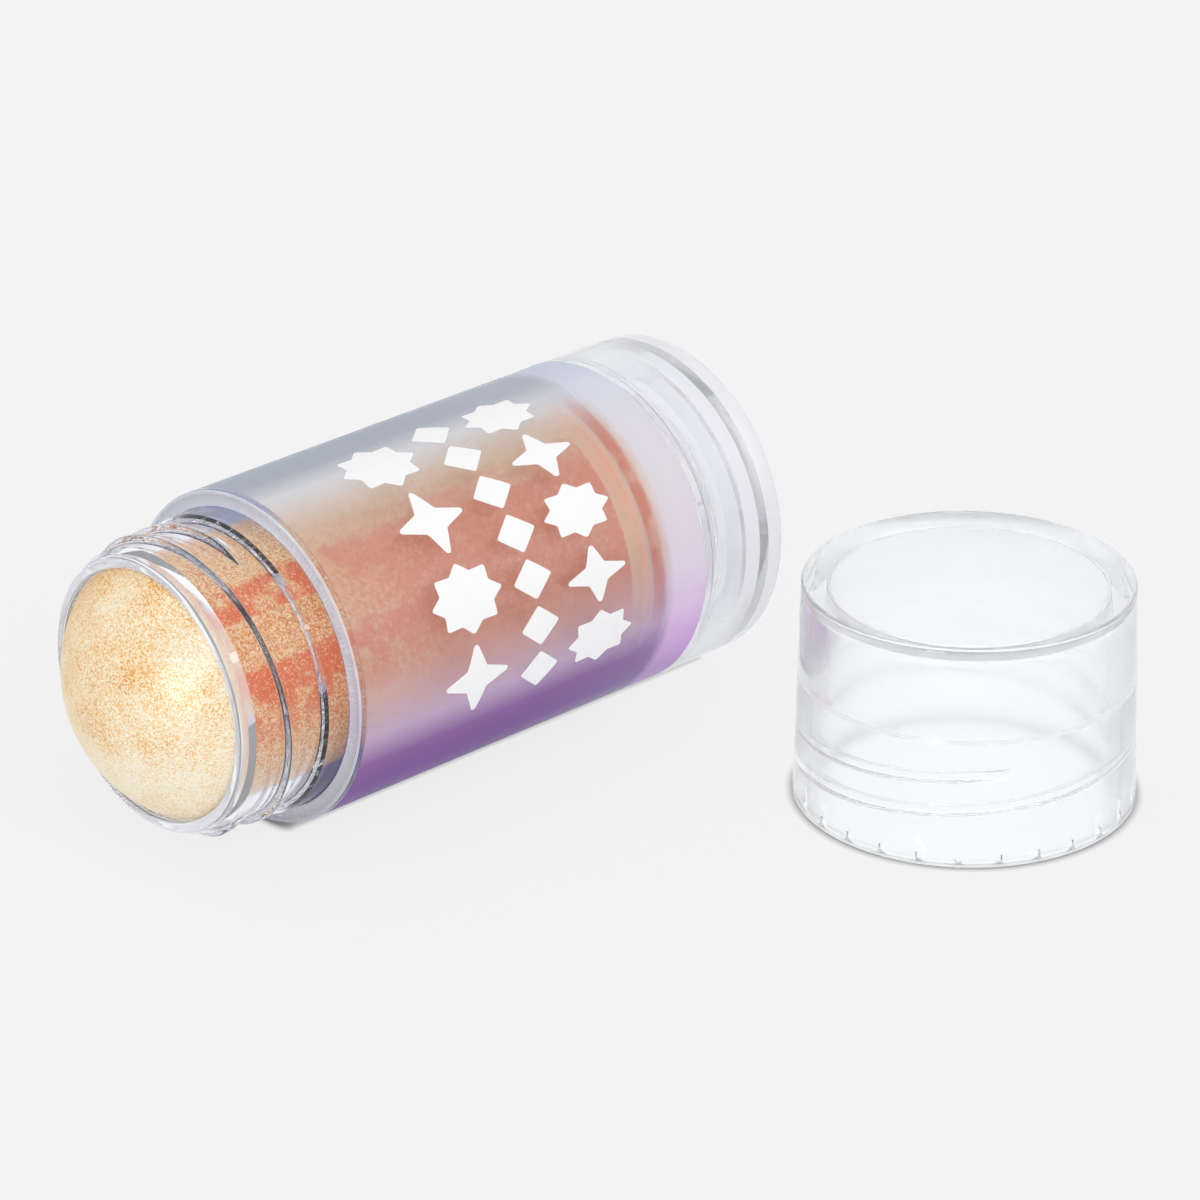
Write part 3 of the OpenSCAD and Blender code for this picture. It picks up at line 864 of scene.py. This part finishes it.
# %% [markdown]
# ## The lifting screw and the elevator
# Both are natural, unpigmented plastic: milky and a little see-through. Their shapes in the frame are
# right, so they keep them and only get their finish, a pale plastic with light scattered inside. The
# elevator was filled with warm balm and has taken on its colour.
# %% Natural plastic
def natural_plastic(name, colour):
    """Milky plastic with light scattered under its skin."""
    material, tree = new_material(name)
    tone = blend_colours(tree, noise(tree, own_place(tree), 300.0), colour,
                         tuple(min(1.0, c * 1.06) for c in colour))
    surface(tree, principled(tree, Base_Color=tone, Roughness=0.42, Subsurface_Weight=0.25,
                             Subsurface_Scale=0.002))
    return material


def refinish(node, material):
    """Gives a kept node of the frame a new material."""
    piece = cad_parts[node]
    piece.data.materials.clear()
    piece.data.materials.append(material)
    print("refinished", node)


natural = natural_plastic("natural plastic", (0.93, 0.91, 0.87))
stained = natural_plastic("plastic stained by balm", (0.92, 0.50, 0.26))
refinish("spindle", natural)
refinish("elevator", stained)

# %% [markdown]
# ## The frosted label
# The film is a real thin wall with its seam. Its shader mixes rough glass, which blurs what is behind
# it, with the tint, a part of which lets light glow through to the wall under it.
# %% Film material
GLOW_SHARE = 0.25
PAINT_SHARE = 0.85


def film_material():
    """Frosted film with the label's tint."""
    material, tree = new_material("frosted film")
    place_in, share, tint, cover = label_tint(tree)
    skin = unevenness(tree, noise(tree, place_in, 2400.0, 2.0, 0.6), 0.15, 0.00003)
    glass = principled(tree, Base_Color=ramp(tree, share, WARM_STOPS), Roughness=0.2, IOR=1.3,
                       Transmission_Weight=1.0, Normal=skin)
    paint = principled(tree, Base_Color=tint, Roughness=0.45, Specular_IOR_Level=0.25, Normal=skin)
    glow = wired(tree, "ShaderNodeBsdfTranslucent", "BSDF", Color=tint)
    paint = mix_shaders(tree, GLOW_SHARE, paint, glow)
    body = mix_shaders(tree, times(tree, cover, PAINT_SHARE), glass, paint)
    surface(tree, lamps_pass(tree, body, (0.97, 0.96, 0.975)))
    return material


frosted = film_material()

# %% [markdown]
# The film's mesh is a sheet with a real thickness, wrapped once round the panel. A label of this kind
# ends in a narrow seam, so the two ends don't meet. A tube would be simpler, but it would have none.
# %% Film mesh
film_in_r = panel_r + 0.02
film_out_r = film_in_r + 0.1
seam_turn = 302.0
seam_gap = 2.0
FILM_COLUMNS = 360
FILM_ROWS = 24


def wrapped_film():
    """A thin wall wrapped round the upright axis, open at its seam and closed at its edges."""
    shape = bmesh.new()
    grid = {}
    for c in range(FILM_COLUMNS + 1):
        a = math.radians(seam_turn + seam_gap / 2 + (360 - seam_gap) * c / FILM_COLUMNS)
        for k in range(FILM_ROWS + 1):
            s = film_low.x + (film_high.x - film_low.x) * k / FILM_ROWS
            for side, r in ((0, film_in_r), (1, film_out_r)):
                grid[c, k, side] = shape.verts.new((r * math.cos(a), r * math.sin(a), s))
    for c in range(FILM_COLUMNS):
        for k in range(FILM_ROWS):
            for side in (0, 1):
                shape.faces.new([grid[c, k, side], grid[c + 1, k, side],
                                 grid[c + 1, k + 1, side], grid[c, k + 1, side]])
        for k in (0, FILM_ROWS):
            shape.faces.new([grid[c, k, 0], grid[c + 1, k, 0], grid[c + 1, k, 1], grid[c, k, 1]])
    for k in range(FILM_ROWS):
        for c in (0, FILM_COLUMNS):
            shape.faces.new([grid[c, k, 0], grid[c, k + 1, 0], grid[c, k + 1, 1], grid[c, k, 1]])
    return finish_mesh("label", shape)


label = wrapped_film()
label.data.materials.append(frosted)
place(label, LAY_DOWN, "container", "label_film", "label_film")

# %% [markdown]
# ## The white print
# The label carries three columns of bold white shapes: a small row between two large ones. Each row
# repeats one motif at even steps, so a tree makes it: a star outline is filled, set on the points of a
# line, cut finely and rolled round the stick, and given the thickness of a coat of ink.
# %% The print tree
PRINT_R = film_out_r + 0.004
INK_T = 0.012
PRINT_CUTS = 4


def white_ink():
    """Opaque white screen ink with a slightly uneven coat."""
    material, tree = new_material("white ink")
    grain = noise(tree, own_place(tree), 900.0)
    coat = blend_colours(tree, grain, (0.95, 0.95, 0.96), (0.98, 0.98, 0.98))
    surface(tree, lamps_pass(tree, principled(tree, Base_Color=coat, Roughness=0.4), (0.9, 0.9, 0.9)))
    return material


def print_tree():
    """A row of star motifs rolled round the upright axis."""
    tree, given = tree_with_inputs("row of printed motifs", {
        "Count": ("NodeSocketInt", 5), "Step": (NUMBER, 8.0), "First": (NUMBER, 0.0),
        "Station": (NUMBER, 30.0), "Points": ("NodeSocketInt", 8), "Outer": (NUMBER, 4.0),
        "Inner": (NUMBER, 3.0), "Rounding": (NUMBER, 0.3), "Tall": (NUMBER, 1.0),
        "Radius": (NUMBER, 20.0), "Thickness": (NUMBER, 0.01),
        "Material": ("NodeSocketMaterial", None)})
    give = given.outputs
    star = wired(tree, "GeometryNodeCurveStar", "Curve", Points=give["Points"],
                 Inner_Radius=give["Inner"], Outer_Radius=give["Outer"])
    soft = wired(tree, "GeometryNodeFilletCurve", "Curve", {"mode": "POLY"}, Curve=star,
                 Radius=give["Rounding"], Count=5, Limit_Radius=True)
    shaped = wired(tree, "GeometryNodeTransform", "Geometry", Geometry=soft,
                   Scale=join(tree, give["Tall"], 1.0, 1.0))
    fill = wired(tree, "GeometryNodeFillCurve", "Mesh", Curve=shaped)
    line = wired(tree, "GeometryNodeMeshLine", "Mesh", Count=give["Count"],
                 Start_Location=join(tree, give["Station"], give["First"]),
                 Offset=join(tree, y=give["Step"]))
    copies = wired(tree, "GeometryNodeInstanceOnPoints", "Instances", Points=line, Instance=fill)
    real = wired(tree, "GeometryNodeRealizeInstances", "Geometry", Geometry=copies)
    fine = wired(tree, "GeometryNodeSubdivideMesh", "Mesh", Mesh=real, Level=PRINT_CUTS)
    thick = wired(tree, "GeometryNodeExtrudeMesh", "Mesh", {"mode": "FACES"}, Mesh=fine,
                  Offset_Scale=give["Thickness"], Individual=False)
    u, v, w = points_at(tree)
    angle = calc(tree, "DIVIDE", v, give["Radius"])
    r = calc(tree, "ADD", give["Radius"], w)
    rolled = join(tree, times(tree, r, calc(tree, "COSINE", angle)),
                  times(tree, r, calc(tree, "SINE", angle)), u)
    end_tree(tree, moved(tree, thick, Position=rolled), give["Material"])
    return tree


PRINTED_ROW = print_tree()
ink = white_ink()

# %% [markdown]
# Angles on the label are counted from the back over the top to the front, as an artist would measure
# them on the finished stick. The lathe counts the other way from another start, so one short function
# turns one into the other.
# %% Printed rows
PRINT_FROM = 199.0
PRINT_TO = 86.0


def lathe_angle(angle):
    """An angle from the back over the top, as the lathe's own angle before the piece is laid."""
    return 180.0 - angle + 90.0


def printed_row(name, station, count, points, outer, inner, tall, rounding, every=1, skip=0):
    """One row of motifs, evenly spaced between the print's two ends."""
    pitch = PRINT_R * math.radians(PRINT_FROM - PRINT_TO) / count
    first = PRINT_R * math.radians(lathe_angle(PRINT_FROM)) + pitch * (0.5 + skip)
    seed = bpy.data.objects.new(name, bpy.data.meshes.new(name))
    bpy.context.scene.collection.objects.link(seed)
    run_tree(seed, PRINTED_ROW, {
        "Count": math.ceil((count - skip) / every), "Step": pitch * every, "First": first,
        "Station": station, "Points": points, "Outer": outer, "Inner": inner, "Tall": tall,
        "Rounding": rounding, "Radius": PRINT_R, "Thickness": INK_T, "Material": ink})
    for polygon in seed.data.polygons:
        polygon.use_smooth = False
    place(seed, LAY_DOWN, "container", "label_film")


printed_row("print_bursts_low", 30.2, 5, 8, 3.5, 2.6, 1.48, 0.25, every=2)
printed_row("print_sparks_low", 30.2, 5, 4, 3.9, 1.55, 1.34, 0.3, every=2, skip=1)
printed_row("print_diamonds", 39.7, 7, 4, 2.45, 1.75, 1.2, 0.25)
printed_row("print_sparks_high", 49.6, 4, 4, 4.9, 1.95, 1.1, 0.35, every=2)
printed_row("print_bursts_high", 49.6, 4, 8, 4.3, 3.2, 1.26, 0.3, every=2, skip=1)

# %% [markdown]
# ## Studio
# The stick is photographed on a seamless pale floor under broad soft light. A wide floor and an even
# world give that without a visible horizon. A real studio is unlit behind the photographer, and clear
# plastic shows it: what is mirrored in the walls is bright all round except there, which gives them
# thin dark edges and keeps the colours behind them deep. Where something nearly touches the paper, its
# even tone is darkened into a painted contact shadow.
# %% Floor and world
PAPER = 0.905
SEEN_IN_GLASS = (0.955, 0.97, 0.985)
EVEN_SHARE = 0.90
CONTACT_REACH = 0.0012
WORLD_LEVEL = 0.60
ROOM_DARK = (0.07, 0.085, 0.17)
ROOM_SIDE = (0.50, 0.52, 0.69)
REACH = 4.0
floor_z = -stick_r * MM
floor_mesh = bpy.data.meshes.new("floor")
corners = [(x * REACH, y * REACH, floor_z) for x, y in ((-1, -1), (1, -1), (1, 1), (-1, 1))]
floor_mesh.from_pydata(corners, [], [(0, 1, 2, 3)])
floor = bpy.data.objects.new("floor", floor_mesh)
bpy.context.scene.collection.objects.link(floor)


def behind_glass(tree):
    """1 for rays that a mirror or clear wall sends on, 0 for the rest."""
    rays = add_node(tree, "ShaderNodeLightPath")
    return calc(tree, "MAXIMUM", rays.outputs["Is Glossy Ray"], rays.outputs["Is Transmission Ray"])


def room_side(tree, place_in, start, end):
    """How far a direction or a place lies on the unlit side of the room."""
    along = add_node(tree, "ShaderNodeVectorMath", operation="DOT_PRODUCT")
    feed(tree, along.inputs[0], place_in)
    feed(tree, along.inputs[1], ROOM_SIDE)
    return ease(tree, along.outputs["Value"], start, end)


def seen_in_glass(tree, place_in, start, end):
    """The colour of the studio as a mirror or clear wall shows it."""
    return blend_colours(tree, room_side(tree, place_in, start, end), SEEN_IN_GLASS, ROOM_DARK)


def paper_material():
    """Pale paper: lit as it is, with a share of its own even tone where it is looked at, darkened into
    a painted contact shadow near things.
    """
    material, tree = new_material("pale paper")
    lit = wired(tree, "ShaderNodeBsdfDiffuse", "BSDF", Color=(PAPER, PAPER, PAPER, 1.0))
    looked_at = add_node(tree, "ShaderNodeLightPath").outputs["Is Camera Ray"]
    clear = behind_glass(tree)
    tone = blend_colours(tree, clear, (PAPER,) * 3, seen_in_glass(tree, own_place(tree), 0.32, 0.75))
    # Painted contact shadow: the even tone is darkened where the AO node finds something close by.
    painted_contact_shadow = wired(tree, "ShaderNodeAmbientOcclusion", "AO", {"samples": 12}, Distance=CONTACT_REACH)
    strength = ease(tree, painted_contact_shadow, 0.3, 0.95, 0.2, 1.0, "LINEAR")
    even = wired(tree, "ShaderNodeEmission", "Emission", Color=tone, Strength=strength)
    share = times(tree, calc(tree, "MAXIMUM", looked_at, clear), EVEN_SHARE)
    surface(tree, mix_shaders(tree, share, lit, even))
    return material


floor_mesh.materials.append(paper_material())

world = bpy.data.worlds.new("studio")
bpy.context.scene.world = world
world.use_nodes = True
sky_tree = world.node_tree
sky_tree.nodes.clear()
room = wired(sky_tree, "ShaderNodeBackground", "Background", Color=(1.0, 1.0, 1.0, 1.0),
             Strength=WORLD_LEVEL)
sky_way = add_node(sky_tree, "ShaderNodeTexCoord").outputs["Generated"]
bright = wired(sky_tree, "ShaderNodeBackground", "Background",
               Color=seen_in_glass(sky_tree, sky_way, 0.72, 0.88), Strength=1.0)
feed(sky_tree, add_node(sky_tree, "ShaderNodeOutputWorld").inputs["Surface"],
     mix_shaders(sky_tree, behind_glass(sky_tree), room, bright))
print("floor at", floor_z)

# %% [markdown]
# ## Lamps
# Two soft suns stand for large diffusers above and in front. A soft key lamp, low and almost in line
# with the stick, puts the glow on the dome, and a weak one lights the side. Small lamps would be
# simpler, but their hard shadows and sharp mirror spots are not what such a studio shows.
# %% Lamps
def aim(lamp, spot, target):
    """Places a lamp and turns it to a target."""
    lamp.location = spot
    lamp.rotation_euler = (Vector(target) - Vector(spot)).to_track_quat("-Z", "Y").to_euler()


def new_lamp(name, kind, energy, spot, target):
    """A lamp of a kind, aimed at a target. Gives its light, so that its size can be set."""
    light = bpy.data.lights.new(name, kind)
    light.energy = energy
    lamp = bpy.data.objects.new(name, light)
    bpy.context.scene.collection.objects.link(lamp)
    aim(lamp, spot, target)
    return light


def soft_lamp(name, spot, target, width, height, watts):
    """A soft rectangular lamp."""
    light = new_lamp(name, "AREA", watts, spot, target)
    light.shape = "RECTANGLE"
    light.size = width
    light.size_y = height


MIDDLE = (0.04, 0.02, 0.0)
new_lamp("soft sun", "SUN", 0.45, (0.3, 0.1, 0.9), MIDDLE).angle = math.radians(60)
new_lamp("soft front sun", "SUN", 0.62, (0.35, 0.62, 0.55), MIDDLE).angle = math.radians(45)
soft_lamp("key", (1.62, 0.70, 0.37), (0.07, 0.0, 0.0), 0.40, 0.62, 5.6)
soft_lamp("side", (-0.40, 1.60, 0.95), MIDDLE, 0.90, 0.45, 1.0)

# %% [markdown]
# ## Camera
# The camera stands where the photographer's did: a long lens, looking down at a quarter view of the
# domed end. Its place was worked out from the outlines of the stick and the cap.
# %% Camera
camera_data = bpy.data.cameras.new("camera")
camera_data.sensor_width = 36.0
camera_data.lens = 175.87
camera = bpy.data.objects.new("camera", camera_data)
bpy.context.scene.collection.objects.link(camera)
camera.location = (0.45260, 0.46672, 0.29120)
camera.rotation_euler = [math.radians(a) for a in (64.808, 0.129, 136.555)]
bpy.context.scene.camera = camera
bpy.context.scene.view_settings.view_transform = "Standard"
paths = bpy.context.scene.cycles
paths.max_bounces = 32
paths.diffuse_bounces = 6
paths.glossy_bounces = 20
paths.transmission_bounces = 28
paths.transparent_max_bounces = 20
